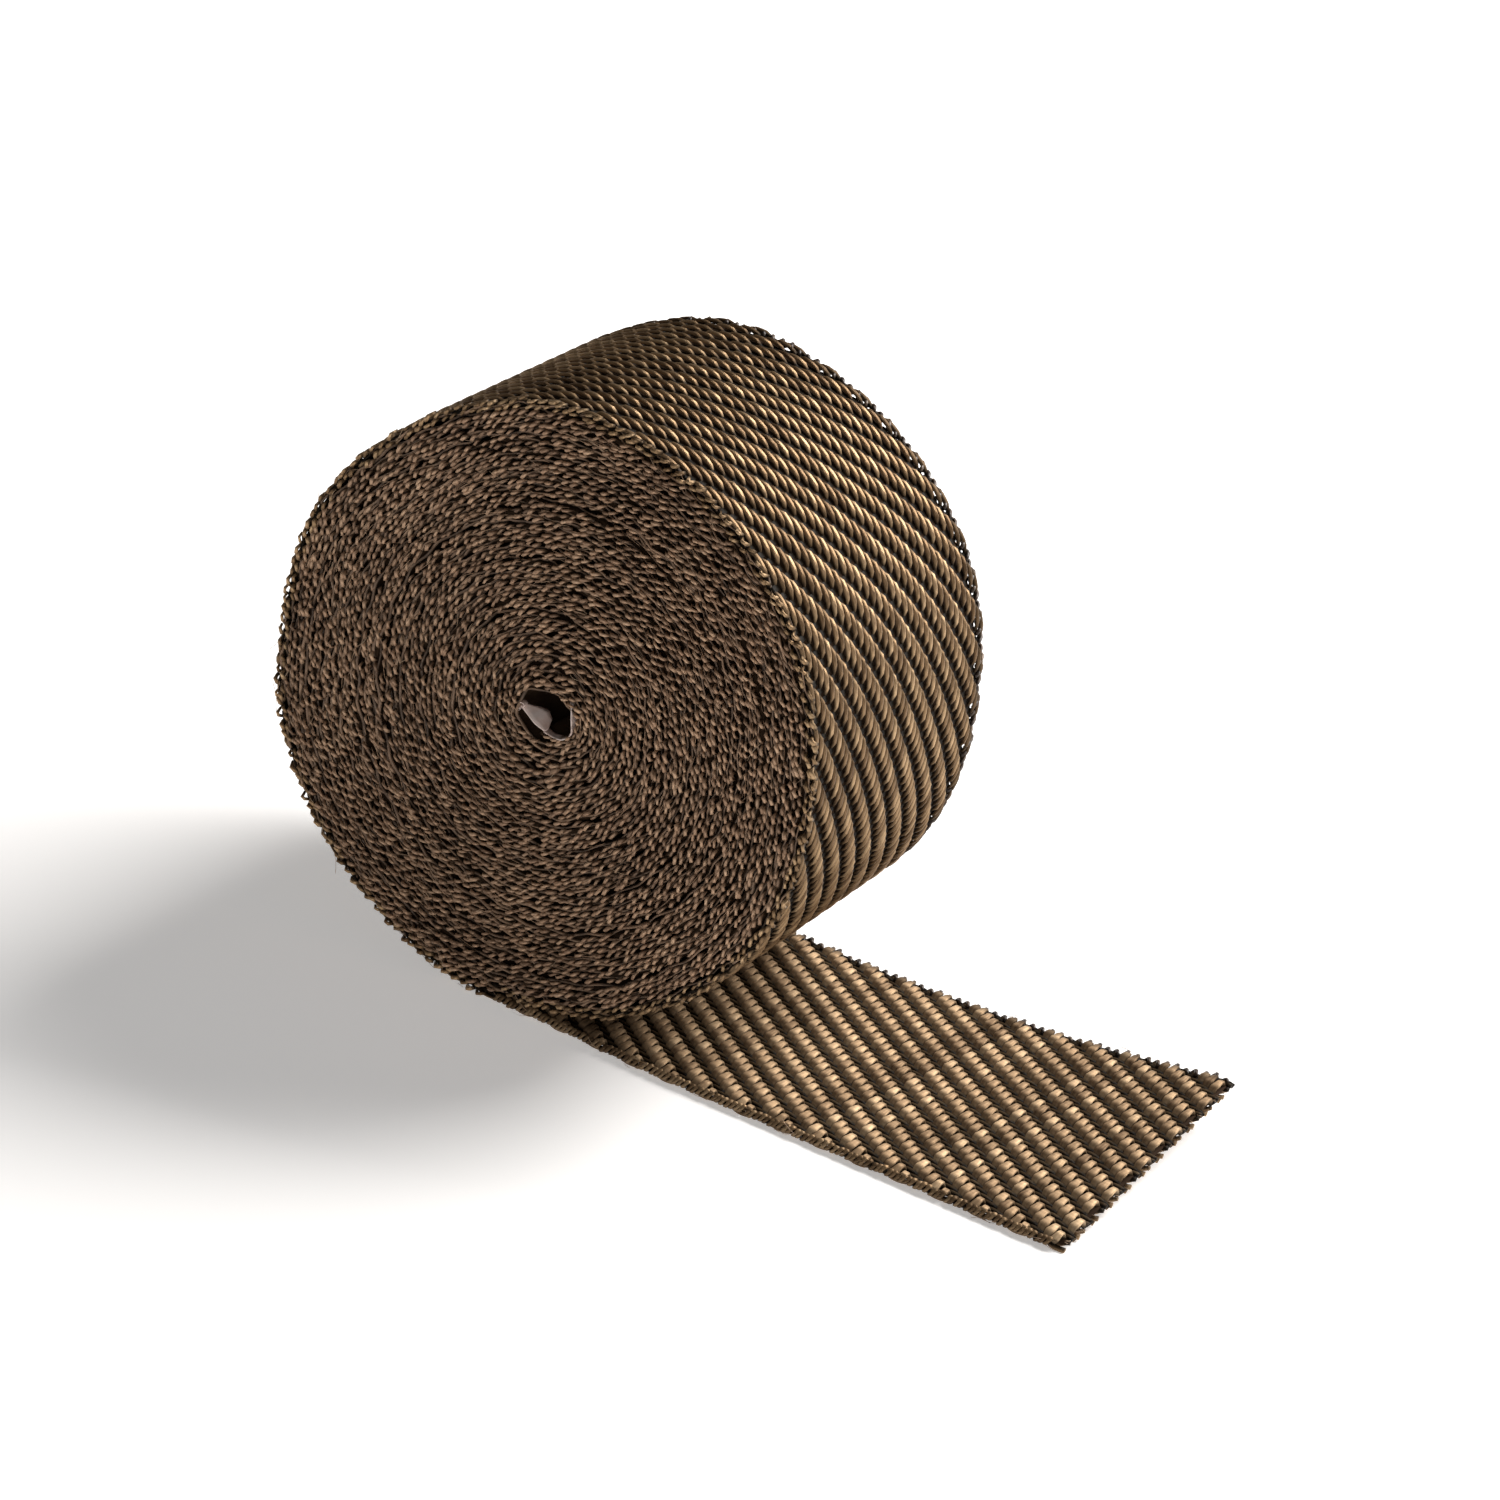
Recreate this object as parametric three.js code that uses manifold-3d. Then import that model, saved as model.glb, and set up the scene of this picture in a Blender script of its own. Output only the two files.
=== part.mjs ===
// Roll of woven heat wrap tape, lying on its side with the tape's end run out flat.
// Millimetres, +Z up, +X along the tape that is run out, Y along the roll's axis.
import * as THREE from "three";
import { mergeVertices } from "three/addons/utils/BufferGeometryUtils.js";
import Module from "manifold-3d";

// ---- driving dimensions ----
const TAPE_WIDTH = 50;        // two-inch tape, along Y
const TAPE_THICK = 1.6;       // one layer of the cloth
const ROLL_RADIUS = 42.6;     // outermost turn where it meets the floor
const BORE_RADIUS = 3.9;      // hollow left in the middle of the winding
const BORE_OFF_X = 1.2;       // the hollow lies this far off the middle of the roll
const BORE_OFF_Z = 0.5;
const TURN_PITCH = 1.65;      // one wound turn, layer and slack
const GROOVE_DEPTH = 0.7;     // dip between two turns on the ends
const BACK_SHIFT = -2.2;      // sideways drift of the winding at the far end
const BACK_SHRINK = 0.008;    // the far end is wound this much tighter
const TAIL_LENGTH = 87.8;     // tape run out, from the line where the roll touches down
const TAIL_FLAT = 30.7;       // length of it that lies dead flat
const TAIL_CURL = 5.1;        // rise of the far corner of the cut end
const TAIL_DRIFT = -1.1;      // the tape runs out this far towards the near side
const TAIL_SKEW = -0.0185;    // slope of the cut across the tape
const FILM_THICK = 0.4;       // scrap of clear film on the inner end
const FILM_LENGTH = 15;
const ROUND = 48;             // facets round the wound turns
const STEPS_Y = 6;

const HALF = TAPE_WIDTH / 2;
const AXIS_Z = ROLL_RADIUS;
const INNER_TURN = ROLL_RADIUS - TAPE_THICK;   // radius of the turn below the outermost one
const LEFT = -(ROLL_RADIUS - TAPE_THICK / 256) * (1 - BACK_SHRINK) + BACK_SHIFT;
const SHIFT_X = -(TAIL_LENGTH + LEFT) / 2;
const SHIFT_Y = -TAIL_DRIFT / 2;

const wasm = await Module();
wasm.setup();
const { Manifold, Mesh } = wasm;

function signedVolume(geometry) {
  const p = geometry.attributes.position, ix = geometry.index;
  const a = new THREE.Vector3(), b = new THREE.Vector3(), c = new THREE.Vector3();
  let v = 0;
  for (let i = 0; i < ix.count; i += 3) {
    a.fromBufferAttribute(p, ix.getX(i));
    b.fromBufferAttribute(p, ix.getX(i + 1));
    c.fromBufferAttribute(p, ix.getX(i + 2));
    v += a.dot(b.cross(c)) / 6;
  }
  return v;
}

// one welded, outward-facing closed mesh
function weld(source) {
  const g = source.clone();
  g.deleteAttribute("normal");
  g.deleteAttribute("uv");
  const w = mergeVertices(g, 1e-4);
  const ix = w.index.array, keep = [];
  for (let i = 0; i < ix.length; i += 3) {
    if (ix[i] !== ix[i + 1] && ix[i + 1] !== ix[i + 2] && ix[i] !== ix[i + 2]) {
      keep.push(ix[i], ix[i + 1], ix[i + 2]);
    }
  }
  w.setIndex(keep);
  if (signedVolume(w) < 0) {
    for (let i = 0; i < keep.length; i += 3) [keep[i + 1], keep[i + 2]] = [keep[i + 2], keep[i + 1]];
    w.setIndex(keep);
  }
  return w;
}

function toManifold(geometry) {
  const w = weld(geometry);
  return new Manifold(new Mesh({
    numProp: 3,
    vertProperties: new Float32Array(w.attributes.position.array),
    triVerts: new Uint32Array(w.index.array),
  }));
}

function toGeometry(manifold) {
  const m = manifold.getMesh();
  const g = new THREE.BufferGeometry();
  const pos = new Float32Array(m.numVert * 3);
  for (let i = 0; i < m.numVert; i++) {
    for (let k = 0; k < 3; k++) pos[3 * i + k] = m.vertProperties[i * m.numProp + k];
  }
  g.setAttribute("position", new THREE.BufferAttribute(pos, 3));
  g.setIndex(Array.from(m.triVerts));
  g.computeVertexNormals();
  return g;
}

// ---- the wound turns: a turned solid with its bore, ridged on both ends ----
const woundRadius = INNER_TURN - 0.7;
const turns = Math.round((woundRadius - BORE_RADIUS) / TURN_PITCH);
const pitch = (woundRadius - BORE_RADIUS) / turns;
const profile = [];
profile.push(new THREE.Vector2(BORE_RADIUS, -HALF + GROOVE_DEPTH));
for (let i = 0; i < turns; i++) {
  profile.push(new THREE.Vector2(BORE_RADIUS + (i + 0.5) * pitch, -HALF));
  profile.push(new THREE.Vector2(BORE_RADIUS + (i + 1) * pitch, -HALF + GROOVE_DEPTH));
}
for (let i = turns; i > 0; i--) {
  profile.push(new THREE.Vector2(BORE_RADIUS + i * pitch, HALF - GROOVE_DEPTH));
  profile.push(new THREE.Vector2(BORE_RADIUS + (i - 0.5) * pitch, HALF));
}
profile.push(new THREE.Vector2(BORE_RADIUS, HALF - GROOVE_DEPTH));
profile.push(profile[0].clone());
const wound = toManifold(new THREE.LatheGeometry(profile, ROUND));

// ---- the outermost turn: a ring whose outside winds in by one layer, most of it near the floor ----
// the outline is drawn in X and Z about the roll's axis, from the floor round by the left
const TURN_STEPS = 96;
const outline = [];
for (let i = 0; i <= TURN_STEPS; i++) {
  const a = (2 * Math.PI * i) / TURN_STEPS;
  const r = ROLL_RADIUS - TAPE_THICK * (i / TURN_STEPS) ** 4;
  outline.push(new THREE.Vector2(-r * Math.sin(a), -r * Math.cos(a)));
}
const shape = new THREE.Shape(outline);
const hollow = [];
for (let i = 0; i < ROUND; i++) {
  const a = (2 * Math.PI * (i + 0.5)) / ROUND;
  hollow.push(new THREE.Vector2(-(INNER_TURN - 1.5) * Math.sin(a), (INNER_TURN - 1.5) * Math.cos(a)));
}
shape.holes.push(new THREE.Path(hollow));
const ring = new THREE.ExtrudeGeometry(shape, { depth: TAPE_WIDTH, steps: STEPS_Y, bevelEnabled: false });
// the sweep runs along +Z: lay it over so that it runs along Y
ring.rotateX(Math.PI / 2);
ring.translate(0, HALF, 0);

// ---- the run-out tape, from under the roll ----
const UNDER = 0.5;
const tail = new THREE.BoxGeometry(TAIL_LENGTH + UNDER, TAPE_WIDTH, TAPE_THICK, 20, STEPS_Y, 1);
tail.translate((TAIL_LENGTH - UNDER) / 2, 0, -ROLL_RADIUS + TAPE_THICK / 2);

const roll = toManifold(ring).add(wound).add(toManifold(tail));

// ---- lay the winding and the tape as they rest ----
function ease(t) {
  const c = Math.max(0, Math.min(1, t));
  return c * c * (3 - 2 * c);
}
function settle(geometry) {
  const p = geometry.attributes.position;
  for (let i = 0; i < p.count; i++) {
    let x = p.getX(i), y = p.getY(i), z = p.getZ(i) + AXIS_Z;
    const k = (y + HALF) / TAPE_WIDTH;
    if (z < TAPE_THICK + 0.2 && x > 0) {
      const t = Math.max(0, (x - TAIL_FLAT) / (TAIL_LENGTH - TAIL_FLAT));
      const run = ease(x / TAIL_FLAT);
      z += t * t * TAIL_CURL * k;
      x += BACK_SHIFT * k * (1 - run) + TAIL_SKEW * TAPE_WIDTH * k * t;
      y += TAIL_DRIFT * run;
    } else {
      const grow = 1 - BACK_SHRINK * k;
      const core = Math.max(0, 1 - Math.hypot(x, z - AXIS_Z) / INNER_TURN);
      x = (x + BORE_OFF_X * core) * grow + BACK_SHIFT * k;
      z = (z + BORE_OFF_Z * core) * grow;
    }
    p.setXYZ(i, x + SHIFT_X, y + SHIFT_Y, z);
  }
  geometry.computeVertexNormals();
  return geometry;
}

// ---- clear film on the tape's inner end, curled in the bore ----
const filmLine = [];
for (let i = 0; i <= 10; i++) {
  const s = i / 10;
  filmLine.push([-3.1 + 5.3 * s, 0.1 - 1.7 * s - 0.7 * Math.sin(Math.PI * s)]);
}
const filmOutline = [];
filmLine.forEach(([x, z]) => filmOutline.push(new THREE.Vector2(x, z + FILM_THICK / 2)));
[...filmLine].reverse().forEach(([x, z]) => filmOutline.push(new THREE.Vector2(x, z - FILM_THICK / 2)));
const film = new THREE.ExtrudeGeometry(new THREE.Shape(filmOutline), { depth: FILM_LENGTH, steps: 1, bevelEnabled: false });
film.rotateX(Math.PI / 2);
film.translate(0, -HALF + FILM_LENGTH + 1.2, 0);

function node(name, geometry, material) {
  const mesh = new THREE.Mesh(geometry, material);
  mesh.name = name;
  return mesh;
}

const cloth = new THREE.MeshStandardMaterial({ name: "basalt_cloth", color: new THREE.Color(0.36, 0.27, 0.17), roughness: 0.8, metalness: 0.0 });
const clear = new THREE.MeshStandardMaterial({ name: "clear_film", color: new THREE.Color(0.75, 0.66, 0.6), roughness: 0.25, metalness: 0.0 });

const part = new THREE.Group();
part.name = "exhaust_heat_wrap";
part.add(node("wrap_tape", settle(toGeometry(roll)), cloth));
part.add(node("core_film", settle(weld(film)), clear));
export default part;
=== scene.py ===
import math

import bpy
import numpy as np
from mathutils import Matrix


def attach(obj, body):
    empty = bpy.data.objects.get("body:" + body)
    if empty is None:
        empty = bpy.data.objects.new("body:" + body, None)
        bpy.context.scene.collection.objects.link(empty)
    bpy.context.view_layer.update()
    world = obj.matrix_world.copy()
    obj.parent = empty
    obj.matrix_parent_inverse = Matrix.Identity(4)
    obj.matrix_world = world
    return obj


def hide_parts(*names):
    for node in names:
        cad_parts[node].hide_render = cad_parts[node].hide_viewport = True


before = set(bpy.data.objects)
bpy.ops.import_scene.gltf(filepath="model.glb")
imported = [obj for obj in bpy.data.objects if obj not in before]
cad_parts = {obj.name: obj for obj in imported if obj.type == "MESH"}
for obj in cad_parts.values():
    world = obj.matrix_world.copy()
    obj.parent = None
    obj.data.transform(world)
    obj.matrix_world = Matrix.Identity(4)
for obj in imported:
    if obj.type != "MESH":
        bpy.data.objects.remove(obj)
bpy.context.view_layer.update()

RNG = np.random.default_rng(20261)
TAU = 2 * math.pi

# ------------------------------------------------------------------ sizes, mm
WIDTH = 50.0          # the tape
HALF = WIDTH / 2
THICK = 1.6
RADIUS = 42.6         # outermost turn where it meets the floor
BORE = 3.0
PITCH = 1.65          # one wound turn
BACK_SHIFT = -2.2
BACK_SHRINK = 0.008
TAIL = 87.8           # tape run out on the floor
TAIL_FLAT = 30.7
TAIL_CURL = 5.1
TAIL_DRIFT = -1.1
TAIL_SKEW = -0.0185
OFF_X, OFF_Z = 1.2, 0.1   # the hollow lies this far off the middle of the roll
LEFT = -(RADIUS - THICK / 256) * (1 - BACK_SHRINK) + BACK_SHIFT
SHIFT_X = -(TAIL + LEFT) / 2
SHIFT_Y = -TAIL_DRIFT / 2

END_GAP = 1.0         # between warp ends, across the tape
ENDS = 49
PICK = 1.475          # between weft picks, along the tape
LEAN = -0.165         # the picks lie askew by this much along per mm across
FIRST = 0.55          # first pick, from the cut end
WARP_RISE, WARP_BIAS = 0.42, -0.34
WEFT_RISE, WEFT_BIAS = 0.44, 0.22
SWAY = 0.15           # the plied warp leans across the tape on each float


def ease(t):
    t = np.clip(t, 0.0, 1.0)
    return t * t * (3 - 2 * t)


# ------------------------------------------------- the winding, as a long tape
# Tape space: w runs along the tape from its cut end, y across it, and n is the
# height off its middle, towards the side that faces up on the floor and faces
# the bore on the roll.
A_END = TAU * (1 + (RADIUS - THICK * 1.5 - BORE - PITCH / 2) / PITCH)
tab_a = np.linspace(0.0, A_END, 60000)


def turn_radius(a):
    # each turn climbs over the one below near the floor, where the tape runs out
    m = np.floor(a / TAU)
    first = RADIUS - THICK / 2 - THICK * (a / TAU) ** 4
    later = RADIUS - THICK * 1.5 - PITCH * (m - 1 + (a / TAU - m) ** 4)
    r = np.where(a < TAU, first, later)
    # the hand-wound turns are a little uneven
    on = ease((a - 0.5) / 1.2) * (1 - 0.9 * ease((a - TAU + 1.1) / 0.5) * (1 - ease((a - TAU - 0.1) / 0.6)))
    lumps = 0.11 * np.sin(3 * a + 0.6) + 0.07 * np.sin(5 * a + 2.0) + 0.05 * np.sin(11 * a)
    inner = ease((a - TAU * 1.2) / TAU)
    at = np.remainder(a, TAU)
    r = r - 1.35 * np.exp(-((at - 2.45) / 0.36) ** 2) * (1 - ease((a / TAU - 3) / 6))
    r = r + 0.4 * np.exp(-((at - 5.78) / 0.22) ** 2) * (1 - ease((a / TAU - 3) / 6))
    r = r + (0.45 * np.exp(-((at - 3.05) / 0.28) ** 2) - 0.7 * np.exp(-((at - 4.66) / 0.26) ** 2) + 0.35 * np.exp(-((at - 5.3) / 0.3) ** 2)) * (1 - ease((a / TAU - 3) / 6))
    r = r + (0.4 * np.exp(-((at - 1.2) / 0.2) ** 2) - 0.5 * np.exp(-((at - 1.6) / 0.25) ** 2) - 0.4 * np.exp(-((at - 0.5) / 0.2) ** 2)) * (1 - ease((a / TAU - 3) / 6))
    slack = 0.10 * np.sin(0.44 * a + 0.8) + 0.08 * np.sin(0.31 * a + 1.9)
    return r + on * lumps * (1 - 0.5 * inner) + inner * slack


tab_r = turn_radius(tab_a)
tab_w = TAIL + np.concatenate([[0.0], np.cumsum((tab_r[1:] + tab_r[:-1]) / 2 * np.diff(tab_a))])
W_OUT = float(np.interp(TAU, tab_a, tab_w))      # end of the outermost turn
W_END = float(tab_w[-1])


def wobble(w, y):
    """How far an edge of the wound tape stands in or out, per side."""
    a = np.interp(w, tab_w, tab_a)
    turn = a / TAU
    inner = ease((turn - 0.65) / 0.7)
    under = a - TAU * np.round(a / TAU)
    near = 0.12 * np.sin(1.7 * turn * TAU / 3.1 + 0.4) + 0.15 * np.sin(turn * 2.9) + 0.10 * np.sin(2 * a + 1.0)
    near = near + 0.30 * np.exp(-((turn - 1.6) / 0.6) ** 2) + 0.85 * np.exp(-(under / 0.75) ** 2) * (1 - ease((turn - 2.0) / 5.0))
    # a few turns stand back and leave a dark arc
    for centre, spread, depth, mid, width in (
        (7.1, 0.32, 0.85, 0.1, 1.0), (11.0, 0.32, 0.5, 0.2, 1.1), (15.2, 0.3, 0.5, -0.3, 1.2),
        (4.2, 0.30, 0.45, 1.3, 0.8), (17.4, 0.3, 0.35, 2.6, 1.0),
    ):
        at = (a - math.pi) - TAU * np.round((a - math.pi - mid) / TAU)
        near = near - depth * np.exp(-((turn - 0.5 - centre) / spread) ** 2) * np.exp(-((at - mid) / width) ** 2)
    far = 0.20 * np.sin(1.3 * turn + 2.2) + 0.14 * np.sin(a * 2 + turn)
    side = ease((np.abs(y) - 17.0) / 7.0)
    amount = np.where(y < 0, near, far)
    return np.sign(y) * side * inner * amount


def tape(P):
    """Tape space, mm, to the part's own frame, m."""
    w, y, n = P[..., 0], P[..., 1], P[..., 2]
    k = (y + HALF) / WIDTH
    u = TAIL - w
    t = np.maximum(0.0, (u - TAIL_FLAT) / (TAIL - TAIL_FLAT))
    run = ease(u / TAIL_FLAT)
    x1 = u + BACK_SHIFT * k * (1 - run) + TAIL_SKEW * WIDTH * k * t
    y1 = y * (1 + 0.017 * (y < 0) * run) + TAIL_DRIFT * run
    z1 = THICK / 2 + n + t * t * TAIL_CURL * k
    a = np.interp(w, tab_w, tab_a)
    r = np.interp(w, tab_w, tab_r) - n
    at = np.remainder(a, TAU)
    r = r + k * (0.95 * np.exp(-((at - 2.45) / 0.42) ** 2) - 0.55 * np.exp(-((at - 3.6) / 0.35) ** 2)) * (1 - ease((a / TAU - 2) / 4))
    grow = 1 - BACK_SHRINK * k
    core = np.maximum(0.0, 1 - r / 41.0)
    x2 = (-r * np.sin(a) + OFF_X * core) * grow + BACK_SHIFT * k
    y2 = y + wobble(w, y)
    flatten = 1 - 0.28 * ease((10.0 - r) / 7.0)
    z2 = (RADIUS - r * flatten * np.cos(a) + OFF_Z * core) * grow
    flat = u > 0
    X = np.where(flat, x1, x2) + SHIFT_X
    Y = np.where(flat, y1, y2) + SHIFT_Y
    Z = np.where(flat, z1, z2)
    return np.stack([X, Y, np.maximum(Z, 0.0)], -1) * 0.001


def unit(v):
    return v / np.maximum(np.linalg.norm(v, axis=-1, keepdims=True), 1e-9)


def painted_shade(V, kind):
    """Painted shade for the yarn colours: 1 where a yarn stands out into the light, 0 where it lies deep between the
    others, where shade would fall; on the faces it also goes darker towards the far edge of the tape.
    """
    high = np.where(V[..., 0] < TAIL, np.abs(V[..., 2]), -V[..., 2])
    face = ease((high - 0.25) / 0.58) * (1 - 0.6 * ease((V[..., 1] - 21.9) / 1.2))
    rim = ease((np.abs(V[..., 1]) - 24.05) / 0.95)
    selvage = ease((np.abs(V[..., 1]) - 22.9) / 1.3)
    return {"face": face, "rim": rim, "both": np.maximum(0.8 * face, 0.5 * selvage), "bare": 1 + 0 * rim}[kind].reshape(-1)


def sweep(paths, half_w, half_n, section, tone, twist=0.0, place=tape, shade_kind="face"):
    """Closed yarns, one to a path: a section carried along each path in tape space."""
    P = np.asarray(paths, float)
    M, N, _ = P.shape
    K = len(section)
    t = unit(np.gradient(P, axis=1))
    s = unit(np.cross(np.array([0.0, 0.0, 1.0]), t))
    q = np.cross(t, s)
    hw = np.broadcast_to(np.asarray(half_w, float), (M, N))[:, :, None, None]
    hn = np.broadcast_to(np.asarray(half_n, float), (M, N))[:, :, None, None]
    ca = section[:, 0][None, None, :, None]
    sa = section[:, 1][None, None, :, None]
    V = P[:, :, None, :] + hw * ca * s[:, :, None, :] + hn * sa * q[:, :, None, :]
    co = place(V).reshape(-1, 3)
    run = np.concatenate([np.zeros((M, 1)), np.cumsum(np.linalg.norm(np.diff(P, axis=1), axis=2), axis=1)], 1)
    run = run + np.asarray(tone).reshape(M, 1) * 37.0
    m, i, k = np.meshgrid(np.arange(M), np.arange(N - 1), np.arange(K), indexing="ij")
    k2 = (k + 1) % K
    at = lambda mm, ii, kk: (mm * N + ii) * K + kk
    quads = np.stack([at(m, i, k), at(m, i + 1, k), at(m, i + 1, k2), at(m, i, k2)], -1).reshape(-1, 4)
    u0, u1 = run[m, i], run[m, i + 1]
    v0, v1 = k / K, (k + 1) / K
    uv = np.stack([
        np.stack([u0, v0 + twist * u0], -1), np.stack([u1, v0 + twist * u1], -1),
        np.stack([u1, v1 + twist * u1], -1), np.stack([u0, v1 + twist * u0], -1)], -2).reshape(-1, 4, 2)
    base = np.arange(M)[:, None] * N * K
    first = base + np.arange(K)[None, :]
    last = base + (N - 1) * K + np.arange(K)[None, ::-1]
    caps = np.concatenate([first, last])
    return {"co": co, "quads": quads, "uv": uv, "caps": caps, "tone": np.repeat(np.asarray(tone, float), N * K), "painted_shade": painted_shade(V, shade_kind)}


def make(name, parts, material, replaces=("wrap_tape",)):
    co, loops, starts, uvs, tones, painted_shades = [], [], [], [], [], []
    off = count = 0
    for p in parts:
        co.append(p["co"])
        q = p["quads"] + off
        loops.append(q.ravel())
        starts.append(count + 4 * np.arange(len(q)))
        uvs.append(p["uv"].reshape(-1, 2))
        count += q.size
        if len(p["caps"]):
            c = p["caps"] + off
            loops.append(c.ravel())
            starts.append(count + c.shape[1] * np.arange(len(c)))
            uvs.append(np.tile(np.array([[0.0, 0.5]]), (c.size, 1)))
            count += c.size
        tones.append(p["tone"])
        painted_shades.append(p.get("painted_shade", np.ones(len(p["co"]))))
        off += len(p["co"])
    co, loops, starts = np.concatenate(co), np.concatenate(loops), np.concatenate(starts)
    me = bpy.data.meshes.new(name)
    me.vertices.add(len(co))
    me.vertices.foreach_set("co", co.astype(np.float32).ravel())
    me.loops.add(len(loops))
    me.loops.foreach_set("vertex_index", loops.astype(np.int32))
    me.polygons.add(len(starts))
    me.polygons.foreach_set("loop_start", starts.astype(np.int32))
    me.polygons.foreach_set("use_smooth", np.ones(len(starts), dtype=bool))
    me.update(calc_edges=True)
    layer = me.uv_layers.new(name="yarn")
    layer.data.foreach_set("uv", np.concatenate(uvs).astype(np.float32).ravel())
    for title, values in (("tone", tones), ("painted_shade", painted_shades)):
        attr = me.attributes.new(title, "FLOAT", "POINT")
        attr.data.foreach_set("value", np.concatenate(values).astype(np.float32))
    me.validate()
    me.materials.append(material)
    ob = bpy.data.objects.new(name, me)
    bpy.context.scene.collection.objects.link(ob)
    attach(ob, "root")
    if replaces:
        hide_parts(*replaces)
    return ob


# ------------------------------------------------------------------ materials
def nodes_of(name):
    m = bpy.data.materials.new(name)
    m.use_nodes = True
    nt = m.node_tree
    nt.nodes.clear()
    out = nt.nodes.new("ShaderNodeOutputMaterial")
    bsdf = nt.nodes.new("ShaderNodeBsdfPrincipled")
    nt.links.new(bsdf.outputs["BSDF"], out.inputs["Surface"])
    return m, nt, bsdf


def yarn_material(name, dark, mid, light, rough=0.42, aniso=0.8, level=0.5, metal=0.6, fibres=16.0, bump=0.35, turn=0.0, deep=0.10):
    m, nt, bsdf = nodes_of(name)
    N, Lk = nt.nodes.new, nt.links.new
    uv = N("ShaderNodeUVMap")
    uv.uv_map = "yarn"
    tone = N("ShaderNodeAttribute")
    tone.attribute_name = "tone"
    # fine parallel filaments along the yarn
    mp = N("ShaderNodeMapping")
    mp.inputs["Scale"].default_value = (0.35, fibres, 1.0)
    Lk(uv.outputs["UV"], mp.inputs["Vector"])
    fil = N("ShaderNodeTexNoise")
    fil.inputs["Scale"].default_value = 1.0
    fil.inputs["Detail"].default_value = 3.0
    fil.inputs["Roughness"].default_value = 0.65
    Lk(mp.outputs["Vector"], fil.inputs["Vector"])
    # slow change of shade over the cloth
    tc = N("ShaderNodeTexCoord")
    big = N("ShaderNodeTexNoise")
    big.inputs["Scale"].default_value = 85.0
    big.inputs["Detail"].default_value = 2.0
    Lk(tc.outputs["Object"], big.inputs["Vector"])
    a1 = N("ShaderNodeMath")
    a1.operation = "MULTIPLY_ADD"
    a1.inputs[1].default_value = 0.62
    Lk(fil.outputs["Fac"], a1.inputs[0])
    a2 = N("ShaderNodeMath")
    a2.operation = "MULTIPLY_ADD"
    a2.inputs[1].default_value = 0.34
    Lk(tone.outputs["Fac"], a2.inputs[0])
    a3 = N("ShaderNodeMath")
    a3.operation = "MULTIPLY_ADD"
    a3.inputs[1].default_value = 0.30
    a3.inputs[2].default_value = -0.13
    Lk(big.outputs["Fac"], a3.inputs[0])
    Lk(a3.outputs[0], a2.inputs[2])
    Lk(a2.outputs[0], a1.inputs[2])
    ramp = N("ShaderNodeValToRGB")
    e = ramp.color_ramp.elements
    e[0].position, e[0].color = 0.22, (*dark, 1)
    e[1].position, e[1].color = 0.80, (*light, 1)
    em = ramp.color_ramp.elements.new(0.5)
    em.color = (*mid, 1)
    Lk(a1.outputs[0], ramp.inputs["Fac"])
    # painted shade: the base colour is darkened, down to deep times its value, where the yarns dive between their
    # neighbours
    shade_attr = N("ShaderNodeAttribute")
    shade_attr.attribute_name = "painted_shade"
    shade_range = N("ShaderNodeMapRange")
    shade_range.inputs["To Min"].default_value = deep
    shade_range.inputs["To Max"].default_value = 1.0
    Lk(shade_attr.outputs["Fac"], shade_range.inputs["Value"])
    sc = N("ShaderNodeVectorMath")
    sc.operation = "SCALE"
    Lk(ramp.outputs["Color"], sc.inputs[0])
    Lk(shade_range.outputs[0], sc.inputs["Scale"])
    Lk(sc.outputs[0], bsdf.inputs["Base Color"])
    rr = N("ShaderNodeMapRange")
    rr.inputs["To Min"].default_value = rough + 0.10
    rr.inputs["To Max"].default_value = rough - 0.08
    Lk(fil.outputs["Fac"], rr.inputs["Value"])
    Lk(rr.outputs[0], bsdf.inputs["Roughness"])
    bp = N("ShaderNodeBump")
    bp.inputs["Strength"].default_value = bump
    bp.inputs["Distance"].default_value = 0.00012
    Lk(fil.outputs["Fac"], bp.inputs["Height"])
    Lk(bp.outputs["Normal"], bsdf.inputs["Normal"])
    tg = N("ShaderNodeTangent")
    tg.direction_type = "UV_MAP"
    tg.uv_map = "yarn"
    Lk(tg.outputs["Tangent"], bsdf.inputs["Tangent"])
    bsdf.inputs["Anisotropic"].default_value = aniso
    bsdf.inputs["Anisotropic Rotation"].default_value = turn
    bsdf.inputs["Specular IOR Level"].default_value = level
    # the painted shade also takes the metallic sheen out of the recesses
    mt = N("ShaderNodeMath")
    mt.operation = "MULTIPLY"
    mt.inputs[1].default_value = metal
    Lk(shade_range.outputs[0], mt.inputs[0])
    Lk(mt.outputs[0], bsdf.inputs["Metallic"])
    return m


MAT_WARP = yarn_material("warp_yarn", (0.12, 0.072, 0.040), (0.42, 0.278, 0.155), (0.68, 0.485, 0.29), metal=0.90, rough=0.50, aniso=0.72, level=0.08, turn=0.25 + 0.03, deep=0.02)
MAT_WEFT = yarn_material("weft_yarn", (0.15, 0.094, 0.053), (0.41, 0.280, 0.166), (0.61, 0.450, 0.282), metal=0.50, rough=0.60, aniso=0.70, level=0.08, turn=0.25, deep=0.02)
MAT_RIM = yarn_material("rim_yarn", (0.030, 0.016, 0.010), (0.12, 0.070, 0.045), (0.40, 0.27, 0.17), metal=0.4, rough=0.42, aniso=0.5, fibres=9.0, turn=0.25)
MAT_EDGE = yarn_material("edge_yarn", (0.12, 0.070, 0.042), (0.42, 0.262, 0.162), (0.66, 0.45, 0.29), rough=0.42, aniso=0.65, metal=0.45, fibres=9.0, bump=0.6, turn=0.25, deep=0.24)
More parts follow.
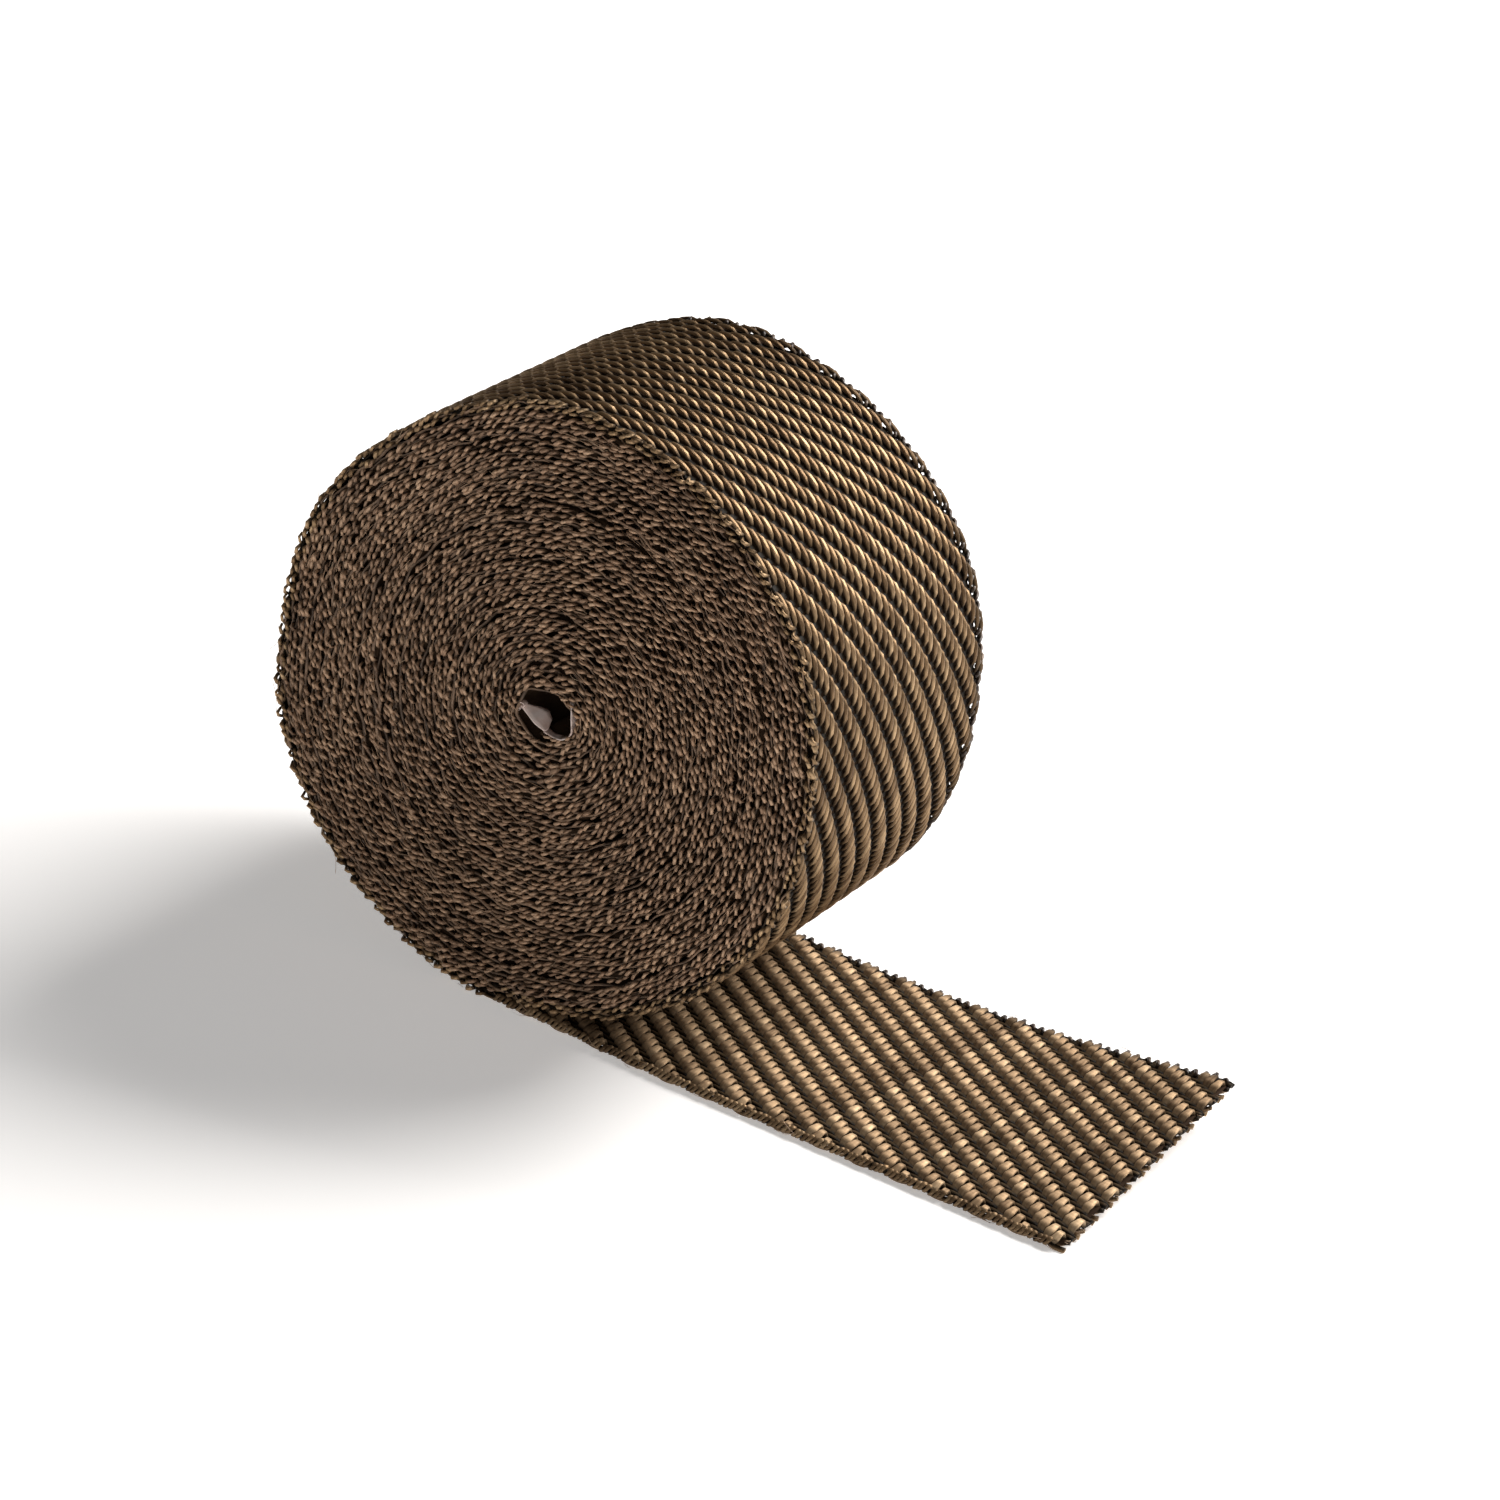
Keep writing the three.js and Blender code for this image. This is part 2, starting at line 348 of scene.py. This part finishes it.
# near-black cloth that stands for shade: the sheet between the yarns and the inner turns show only through gaps, where
# shade falls
MAT_SHADE_BACKING = yarn_material("shade_backing_cloth", (0.014, 0.008, 0.005), (0.034, 0.020, 0.012), (0.060, 0.038, 0.022), rough=0.85, aniso=0.0, metal=0.0, level=0.05, fibres=30.0, bump=0.6)
MAT_HAIR = yarn_material("loose_fibre", (0.16, 0.10, 0.06), (0.36, 0.24, 0.155), (0.60, 0.45, 0.30), rough=0.4, aniso=0.3, metal=0.2, fibres=2.0, bump=0.0)


def film_material():
    m, nt, bsdf = nodes_of("clear_film")
    N, Lk = nt.nodes.new, nt.links.new
    tc = N("ShaderNodeTexCoord")
    no = N("ShaderNodeTexNoise")
    no.inputs["Scale"].default_value = 420.0
    no.inputs["Detail"].default_value = 3.0
    Lk(tc.outputs["Object"], no.inputs["Vector"])
    ramp = N("ShaderNodeValToRGB")
    e = ramp.color_ramp.elements
    e[0].position, e[0].color = 0.3, (0.86, 0.64, 0.55, 1)
    e[1].position, e[1].color = 0.75, (1.0, 0.90, 0.85, 1)
    Lk(no.outputs["Fac"], ramp.inputs["Fac"])
    Lk(ramp.outputs["Color"], bsdf.inputs["Base Color"])
    bp = N("ShaderNodeBump")
    bp.inputs["Strength"].default_value = 0.3
    bp.inputs["Distance"].default_value = 0.0002
    Lk(no.outputs["Fac"], bp.inputs["Height"])
    Lk(bp.outputs["Normal"], bsdf.inputs["Normal"])
    bsdf.inputs["Roughness"].default_value = 0.28
    bsdf.inputs["Specular IOR Level"].default_value = 0.6
    bsdf.inputs["Transmission Weight"].default_value = 0.1
    bsdf.inputs["Alpha"].default_value = 0.85
    return m


MAT_FILM = film_material()

# ---------------------------------------------------------------- woven cloth
def oval(K):
    a = np.arange(K) / K * TAU + TAU / 4
    return np.stack([np.cos(a), np.sin(a)], -1)


FLAT8 = np.array([(1.0, 0.2), (0.95, 0.78), (0.78, 1.0), (-0.78, 1.0), (-0.95, 0.78), (-1.0, 0.2), (-0.62, -0.95), (0.62, -0.95)])
ROUND6 = np.array([(1.0, -0.3), (0.66, 0.62), (0.0, 1.0), (-0.66, 0.5), (-1.0, -0.4), (0.0, -1.0)])
# outside of the roll only: a flat underside that is never seen
DOME = np.array([(-1.0, 0.1), (-0.68, -0.78), (0.0, -1.0), (0.68, -0.78), (1.0, 0.1)])
TRAY = np.array([(-1.0, 0.0), (-0.7, -0.95), (0.7, -0.95), (1.0, 0.0)])


def soft(c, k=2.0):
    """A yarn runs nearly level over or under two others and drops steeply between."""
    return np.tanh(k * c) / math.tanh(k)


def end_y(i):
    return (i - (ENDS - 1) / 2) * END_GAP


def phase(i, j):
    return TAU * (j - i + 0.5) / 4


def warp(w0, w1, section, step, rise=WARP_RISE, bias=WARP_BIAS, width=0.46, k=1.0, longer=0.0):
    i = np.arange(ENDS)
    w = np.arange(w0, w1 + 1e-6, step)
    I, Wg = np.meshgrid(i, w, indexing="ij")
    y0 = end_y(I)
    th = phase(I, (Wg - FIRST - LEAN * y0) / PICK)
    hold = 1 - 0.75 * ease((np.abs(y0) - 22.3) / 2.0)
    y = y0 + SWAY * np.sin(th) * hold + 0.05 * np.sin(Wg * 0.37 + I * 1.9)
    n = rise * soft(np.cos(th) - longer, k) * (0.55 + 0.45 * hold) + bias + 0.02 * np.sin(Wg * 0.61 + I * 2.3)
    tone = RNG.random(ENDS)
    half_w = width - 0.08 * (1 - np.abs(np.cos(th)))
    return sweep(np.stack([Wg, y, n], -1), half_w, 0.35, section, tone, twist=0.16)


def weft(w0, w1, section, step, rise=WEFT_RISE, bias=WEFT_BIAS, half=0.56, slope=0.10, taper=0.13):
    """Picks that cross the stretch of tape from w0 to w1, cut off at its ends."""
    ys = np.arange(-24.4, 23.9, step)
    reach = 24.4
    j0 = math.floor((w0 - FIRST - abs(LEAN) * reach) / PICK) - 1
    j1 = math.ceil((w1 - FIRST + abs(LEAN) * reach) / PICK) + 1
    whole, pieces = [], []
    for j in range(j0, j1 + 1):
        ws = FIRST + PICK * j + LEAN * ys
        inside = (ws >= w0) & (ws <= w1)
        if inside.all():
            whole.append(j)
        elif inside.sum() > 3:
            pieces.append((j, ys[inside]))
    out = []

    def path(j, y):
        i = y / END_GAP + (ENDS - 1) / 2
        th = phase(i, j)
        w = FIRST + PICK * j + LEAN * y + 0.05 * np.sin(y * 0.55 + j * 2.1)
        up = ease(-np.cos(th) / 0.5)
        n = -rise * soft(np.cos(th), 5.0) + bias + slope * up * np.sin(th)
        n = n * (1 - 0.5 * ease((np.abs(y) - 23.0) / 1.4))
        return np.stack([w, y, n], -1), half - taper * np.sin(th) * up

    if whole:
        J = np.array(whole)[:, None] + 0 * ys[None, :]
        P, hw = path(J, 0 * J + ys[None, :])
        out.append(sweep(P, hw, 0.30, section, RNG.random(len(whole))))
    for j, y in pieces:
        P, hw = path(np.full(len(y), j), y)
        out.append(sweep(P[None], hw[None], 0.30, section, RNG.random(1)))
    return out


def edge_loops(side, w0, w1, ts, K, radius=(0.29, 0.26)):
    """Where each pick turns back round the last end: a slanting loop to each pick."""
    y_edge = 24.3 if side < 0 else 23.6
    base = LEAN * side * y_edge + FIRST
    j = np.arange(math.ceil((w0 - base) / PICK), math.floor((w1 - base - PICK) / PICK) + 1)
    t = np.asarray(ts)[None, :]
    psi = math.pi * t
    if side < 0:
        j = np.arange(2 * j[0], 2 * j[-1] + 1) / 2
    J = j[:, None]
    if side > 0:
        bulge = 1.15 + 0.28 * np.sin(TAU * J / 4 + 0.7) + 0.10 * RNG.standard_normal((len(j), 1))
    else:
        bulge = 0.40 + 0.04 * np.sin(J * 1.9) + 0.05 * RNG.standard_normal((len(j), 1))
    span = 1.0 if side > 0 else 0.42
    w = base + PICK * (J + 0.5 + (t - 0.5) * span + 0.05 * RNG.standard_normal((len(j), 1)))
    y = side * (y_edge + bulge * np.sin(psi))
    n = 0.46 * np.cos(psi) + 0.07 * RNG.standard_normal((len(j), 1))
    return sweep(np.stack([w, y, n], -1), radius[0], radius[1], oval(K), RNG.random(len(j)), twist=0.25, shade_kind="both")


def turn_grains(side, w0, w1, ts, K, rows=(-0.40, 0.40)):
    """The turned-back picks on the ends of the roll, pressed together and uneven."""
    base = LEAN * side * 24.2 + FIRST
    j = np.arange(math.ceil((w0 - base) / PICK), math.floor((w1 - base - PICK) / PICK) + 1)
    J = np.tile(j, len(rows))[:, None]
    row = np.repeat(np.array(rows), len(j))[:, None]
    M = len(J)
    U = lambda lo, hi: RNG.uniform(lo, hi, (M, 1))
    G = lambda: RNG.standard_normal((M, 1))
    t = np.asarray(ts)[None, :]
    psi = math.pi * t
    long = U(0.50, 0.95)
    w = base + PICK * (J + 0.5 + 0.6 * row + (t - 0.5) * long + 0.16 * G())
    y = side * (24.22 + (0.60 + 0.20 * G()) * np.sin(psi) + 0.05 * np.sin(J * 0.7))
    n = row + U(0.04, 0.30) * np.cos(psi) + 0.13 * G() + 0.06 * np.sin(J * 0.53)
    P = np.stack([w, y, n], -1)
    thick = U(0.24, 0.38)
    body = thick * (0.75 + 0.25 * np.sin(math.pi * np.clip(t, 0, 1)))
    return sweep(P, body, body * 0.9, oval(K), RNG.random(M), twist=0.25, shade_kind="rim")


def edge_cords(side, ns, step=0.75):
    """Outermost ends of each turn, that show between the turned-back picks."""
    w = np.arange(TAIL + 12.0, W_END - 0.3, step)
    out = []
    for m, n0 in enumerate(ns):
        th = w / (4 * PICK) * TAU + m * 2.1
        slow = np.interp(w, np.arange(TAIL, W_END + 6, 5.0), RNG.standard_normal(len(np.arange(TAIL, W_END + 6, 5.0))))
        fast = RNG.standard_normal(len(w))
        y = side * (24.15 + 0.16 * np.sin(th) + 0.12 * slow + 0.06 * fast)
        n = n0 + 0.18 * np.cos(th * 0.97) + 0.10 * slow + 0.03 * fast
        out.append(sweep(np.stack([w, y, n], -1)[None], (0.22 + 0.03 * slow)[None], (0.22 + 0.03 * slow)[None], oval(3), RNG.random(1), twist=0.3, shade_kind="rim"))
    return out


# the run-out tape: both sides show
make("tail_warp", [warp(0.0, TAIL + 0.4, ROUND6, PICK / 3, k=1.6)], MAT_WARP)
make("tail_weft", weft(0.35, TAIL + 0.4, FLAT8, END_GAP / 3), MAT_WEFT)
# the outermost turn: its inner side never shows, and the picks lie deep between the ends
make("roll_warp", [warp(TAIL - 0.4, W_OUT + 2.0, DOME, PICK / 2, rise=0.44, bias=-0.10, width=0.455, k=2.2, longer=0.10)], MAT_WARP)
make("roll_weft", weft(TAIL - 0.4, W_OUT + 2.0, TRAY, END_GAP / 2, rise=0.30, bias=0.38, half=0.60, slope=0.0, taper=0.0), MAT_WEFT)

ARC8 = [-0.22, 0.0, 0.2, 0.4, 0.6, 0.8, 1.0, 1.22]
GRAIN = [-0.14, 0.28, 0.72, 1.14]
make("near_selvage", [edge_loops(-1, 0.2, TAIL + 2, ARC8, 6, radius=(0.41, 0.20)), turn_grains(-1, TAIL + 2, W_OUT, GRAIN, 5)], MAT_WARP)
make("far_selvage", [edge_loops(1, 0.2, W_OUT, ARC8, 6)], MAT_RIM)
make("near_turn_edges", [turn_grains(-1, W_OUT - 0.2, W_END, GRAIN, 4)] + edge_cords(-1, (0.80, 0.0)), MAT_EDGE)
make("far_turn_edges", [turn_grains(1, W_OUT - 0.2, W_END, [-0.12, 0.3, 0.7, 1.12], 4, rows=(-0.35, 0.35))] + edge_cords(1, (0.0,)), MAT_EDGE)


# ------------------------------------------- ground of the cloth and the winding
def ribbon(w, section, tone):
    """A closed section, points of (y, n), carried along the tape."""
    sec = np.asarray(section, float)
    N, K = len(w), len(sec)
    P = np.zeros((1, N, K, 3))
    P[0, :, :, 0] = w[:, None]
    P[0, :, :, 1:] = sec[None]
    co = tape(P).reshape(-1, 3)
    i, k = np.meshgrid(np.arange(N - 1), np.arange(K), indexing="ij")
    k2 = (k + 1) % K
    at = lambda ii, kk: ii * K + kk
    quads = np.stack([at(i, k), at(i, k2), at(i + 1, k2), at(i + 1, k)], -1).reshape(-1, 4)
    v0, v1 = k / K, (k + 1) / K
    u0, u1 = w[i], w[i + 1]
    uv = np.stack([np.stack([u0, v0], -1), np.stack([u0, v1], -1), np.stack([u1, v1], -1), np.stack([u1, v0], -1)], -2).reshape(-1, 4, 2)
    caps = np.stack([np.arange(K)[::-1], (N - 1) * K + np.arange(K)])
    return {"co": co, "quads": quads, "uv": uv, "caps": caps, "tone": np.full(N * K, tone)}


# a near-black sheet in the middle of the tape, and the inner turns, painted dark to stand for the shade seen through
# the gaps
g = np.arange(0.5, W_OUT + 0.5, 1.0)
ground = make("tape_ground", [ribbon(g, [(-23.9, 0.1), (-12, 0.1), (0, 0.1), (12, 0.1), (22.6, 0.1), (22.6, -0.1), (12, -0.1), (0, -0.1), (-12, -0.1), (-23.9, -0.1)], 0.5)], MAT_SHADE_BACKING)
aw = np.arange(TAU * 0.995, A_END, TAU / 80)
wound = make("wound_turns", [ribbon(np.interp(aw, tab_a, tab_w), [(-24.1, 0.0), (-23.3, 0.55), (23.3, 0.55), (24.1, 0.0), (23.3, -0.55), (-23.3, -0.55)], 0.5)], MAT_SHADE_BACKING)


# ----------------------------------------------------------------- loose fibres
def hairs(count, where, radius=0.045, seed=1):
    """Fine bent fibres that stand off the cloth; where(rng) gives a start and a direction in tape space."""
    rng = np.random.default_rng(seed)
    paths, tones = [], []
    for _ in range(count):
        p, d, bend, length = where(rng)
        t = np.linspace(0, 1, 5)[:, None]
        paths.append(p + d * t * length + bend * t * t * length)
        tones.append(rng.random())
    return sweep(np.array(paths), radius, radius, oval(3), np.array(tones), shade_kind="bare")


def on_near_face(rng):
    w = rng.uniform(W_OUT, W_END) if rng.random() < 0.8 else rng.uniform(0.3, W_OUT)
    p = np.array([w, -24.9 - 0.25 * rng.random(), rng.uniform(-0.6, 0.6)])
    d = np.array([rng.choice([-1.0, 1.0]), -0.25 * rng.random(), rng.uniform(-0.5, 0.5)])
    bend = np.array([0.0, rng.uniform(-0.25, 0.3), rng.uniform(-0.5, 0.5)])
    return p, d, bend, rng.uniform(0.8, 2.6)


def on_far_face(rng):
    p, d, bend, length = on_near_face(rng)
    return p * [1, -1, 1], d * [1, -1, 1], bend * [1, -1, 1], length


def along_turns(rng):
    w = rng.uniform(W_OUT, W_END)
    p = np.array([w, -24.95 - 0.2 * rng.random(), rng.uniform(-0.7, 0.7)])
    d = np.array([rng.choice([-1.0, 1.0]), rng.uniform(-0.06, 0.06), rng.uniform(-0.16, 0.16)])
    bend = np.array([0.0, rng.uniform(0.0, 0.1), rng.uniform(-0.12, 0.12)])
    return p, d, bend, rng.uniform(0.8, 3.2)


def at_cut(rng):
    i = rng.integers(0, ENDS)
    corner = ease((i - ENDS + 8) / 8.0)
    p = np.array([0.35, end_y(i) + rng.uniform(-0.4, 0.4), rng.uniform(-0.45, 0.55)])
    d = np.array([-1.0, rng.uniform(-0.35, 0.35), rng.uniform(-0.3, 0.3)])
    bend = np.array([0.0, rng.uniform(-0.3, 0.3), rng.uniform(-0.15, 0.35)])
    return p, d, bend, rng.uniform(0.35, 0.8) + 0.8 * corner * rng.random()


make("loose_fibres", [hairs(260, on_near_face, 0.035, 11), hairs(200, on_far_face, 0.035, 12), hairs(40, at_cut, 0.04, 13)], MAT_HAIR)
make("lying_fibres", [hairs(800, along_turns, 0.035, 14)], MAT_EDGE)


# -------------------------------------------------------- film in the bore
def film_wall(points, deep, rise=0.12, gauge=0.07):
    """A thin curled wall of film: its near edge follows the points, and it reaches back by the depths."""
    pts = np.asarray(points, float)
    run = np.concatenate([[0], np.cumsum(np.linalg.norm(np.diff(pts, axis=0), axis=1))])
    at = np.linspace(0, run[-1], 4 * len(pts))
    px, pz = (np.interp(at, run, pts[:, c]) for c in (0, 1))
    for _ in range(2):
        px[1:-1] = (px[:-2] + 2 * px[1:-1] + px[2:]) / 4
        pz[1:-1] = (pz[:-2] + 2 * pz[1:-1] + pz[2:]) / 4
    dep = np.interp(at / run[-1], np.linspace(0, 1, len(deep)), deep)
    tx, tz = np.gradient(px), np.gradient(pz)
    ln = np.hypot(tx, tz)
    nx, nz = -tz / ln, tx / ln
    rows = []
    steps = np.array([0.0, 0.25, 0.5, 0.75, 1.0])
    for sgn in (1, -1):
        for f in (steps if sgn > 0 else steps[::-1]):
            d = dep * f
            crease = 0.07 * np.sin(at * 2.3 + 3 * f) * f
            rows.append(np.stack([px + nx * (sgn * gauge + crease) + rise * d, -HALF + 0.45 + d + 0.12 * np.sin(at * 1.7) * (1 - f), pz + nz * (sgn * gauge + crease) + rise * 0.8 * d], -1))
    rows = np.array(rows)
    R, N, _ = rows.shape
    co = rows.reshape(-1, 3).copy()
    co[:, 0] += BACK_SHIFT * (co[:, 1] + HALF) / WIDTH
    co[:, 2] += RADIUS
    co = (co + [SHIFT_X, SHIFT_Y, 0]) * 0.001
    i, kk = np.meshgrid(np.arange(R), np.arange(N - 1), indexing="ij")
    i2 = (i + 1) % R
    quads = np.stack([i * N + kk, i * N + kk + 1, i2 * N + kk + 1, i2 * N + kk], -1).reshape(-1, 4)
    caps = np.stack([np.arange(R) * N, (np.arange(R) * N + N - 1)[::-1]])
    return {"co": co, "quads": quads, "uv": np.zeros((len(quads), 4, 2)), "caps": caps, "tone": np.full(len(co), 0.5)}


make("bore_film", [
    film_wall([(-3.1, 0.2), (-2.3, -0.4), (-1.2, -1.0), (-0.1, -1.6), (1.0, -2.0)], [0.8, 2.1, 2.7, 2.3, 0.6], rise=0.34),
    film_wall([(0.9, -2.1), (2.2, -2.4), (3.6, -2.25), (4.5, -1.75), (4.95, -0.9), (4.85, 0.5), (4.5, 2.0), (4.1, 3.3)], [1.6, 1.4, 1.2, 1.0, 0.7], rise=0.0, gauge=0.06),
    film_wall([(-3.7, -0.9), (-3.3, -0.2), (-3.75, 0.3), (-3.1, 0.8), (-2.5, 0.55), (-2.8, 0.0)], [0.5, 1.0, 0.7, 0.9, 0.5], rise=0.05, gauge=0.05),
], MAT_FILM, replaces=("core_film",))

# -------------------------------------------------------------------- studio
FOCAL = 5032.0
YAW, PITCH_C, ROLL = -0.47935, 0.41784, -0.16953
TX, TY, TZ = -21.23474, 27.07157, 692.65726
fwd = np.array([math.sin(YAW) * math.cos(PITCH_C), math.cos(YAW) * math.cos(PITCH_C), -math.sin(PITCH_C)])
right = np.array([math.cos(YAW), -math.sin(YAW), 0.0])
down = np.cross(fwd, right)
cx = math.cos(ROLL) * right + math.sin(ROLL) * down
cy = -math.sin(ROLL) * right + math.cos(ROLL) * down
eye = -(TX * cx + TY * cy + TZ * fwd) + np.array([SHIFT_X, SHIFT_Y, 0.0])
cam = bpy.data.cameras.new("camera")
cam.sensor_width = 36.0
cam.lens = FOCAL / 1500.0 * 36.0
cam.clip_start, cam.clip_end = 0.01, 20.0
cob = bpy.data.objects.new("camera", cam)
cob.matrix_world = Matrix((
    (cx[0], -cy[0], -fwd[0], eye[0] * 0.001),
    (cx[1], -cy[1], -fwd[1], eye[1] * 0.001),
    (cx[2], -cy[2], -fwd[2], eye[2] * 0.001),
    (0, 0, 0, 1)))
bpy.context.scene.collection.objects.link(cob)
bpy.context.scene.camera = cob


def area(name, direction, distance, size, power, colour=(1, 1, 1)):
    d = unit(np.array(direction, float))
    li = bpy.data.lights.new(name, "AREA")
    li.shape = "RECTANGLE"
    li.size, li.size_y = size
    li.energy = power
    li.color = colour
    ob = bpy.data.objects.new(name, li)
    z = d
    x = unit(np.cross(np.array([0.0, 1.0, 0.001]), z))
    y = np.cross(z, x)
    p = d * distance + np.array([0.0, 0.0, 0.04])
    ob.matrix_world = Matrix(((x[0], y[0], z[0], p[0]), (x[1], y[1], z[1], p[1]), (x[2], y[2], z[2], p[2]), (0, 0, 0, 1)))
    bpy.context.scene.collection.objects.link(ob)
    return ob


area("key", (0.31, 0.67, 0.67), 1.0, (0.80, 0.45), 19.0, (1.0, 0.965, 0.93))
area("fill", (0.40, -0.90, 0.13), 1.3, (0.8, 0.35), 4.4, (1.0, 0.955, 0.93))

floor_me = bpy.data.meshes.new("floor")
floor_me.from_pydata([(-4, -4, 0), (4, -4, 0), (4, 4, 0), (-4, 4, 0)], [], [(0, 1, 2, 3)])
floor_mat, fnt, fb = nodes_of("studio_floor")
fb.inputs["Base Color"].default_value = (0.9, 0.9, 0.9, 1)
fb.inputs["Roughness"].default_value = 0.85
fb.inputs["Specular IOR Level"].default_value = 0.1
fb.inputs["Emission Color"].default_value = (1, 0.99, 0.98, 1)
fb.inputs["Emission Strength"].default_value = 0.36
floor_me.materials.append(floor_mat)
floor = bpy.data.objects.new("floor", floor_me)
bpy.context.scene.collection.objects.link(floor)

world = bpy.data.worlds.new("studio")
world.use_nodes = True
world.node_tree.nodes["Background"].inputs["Color"].default_value = (1, 1, 1, 1)
world.node_tree.nodes["Background"].inputs["Strength"].default_value = 0.06
bpy.context.scene.world = world
bpy.context.scene.view_settings.view_transform = "Standard"
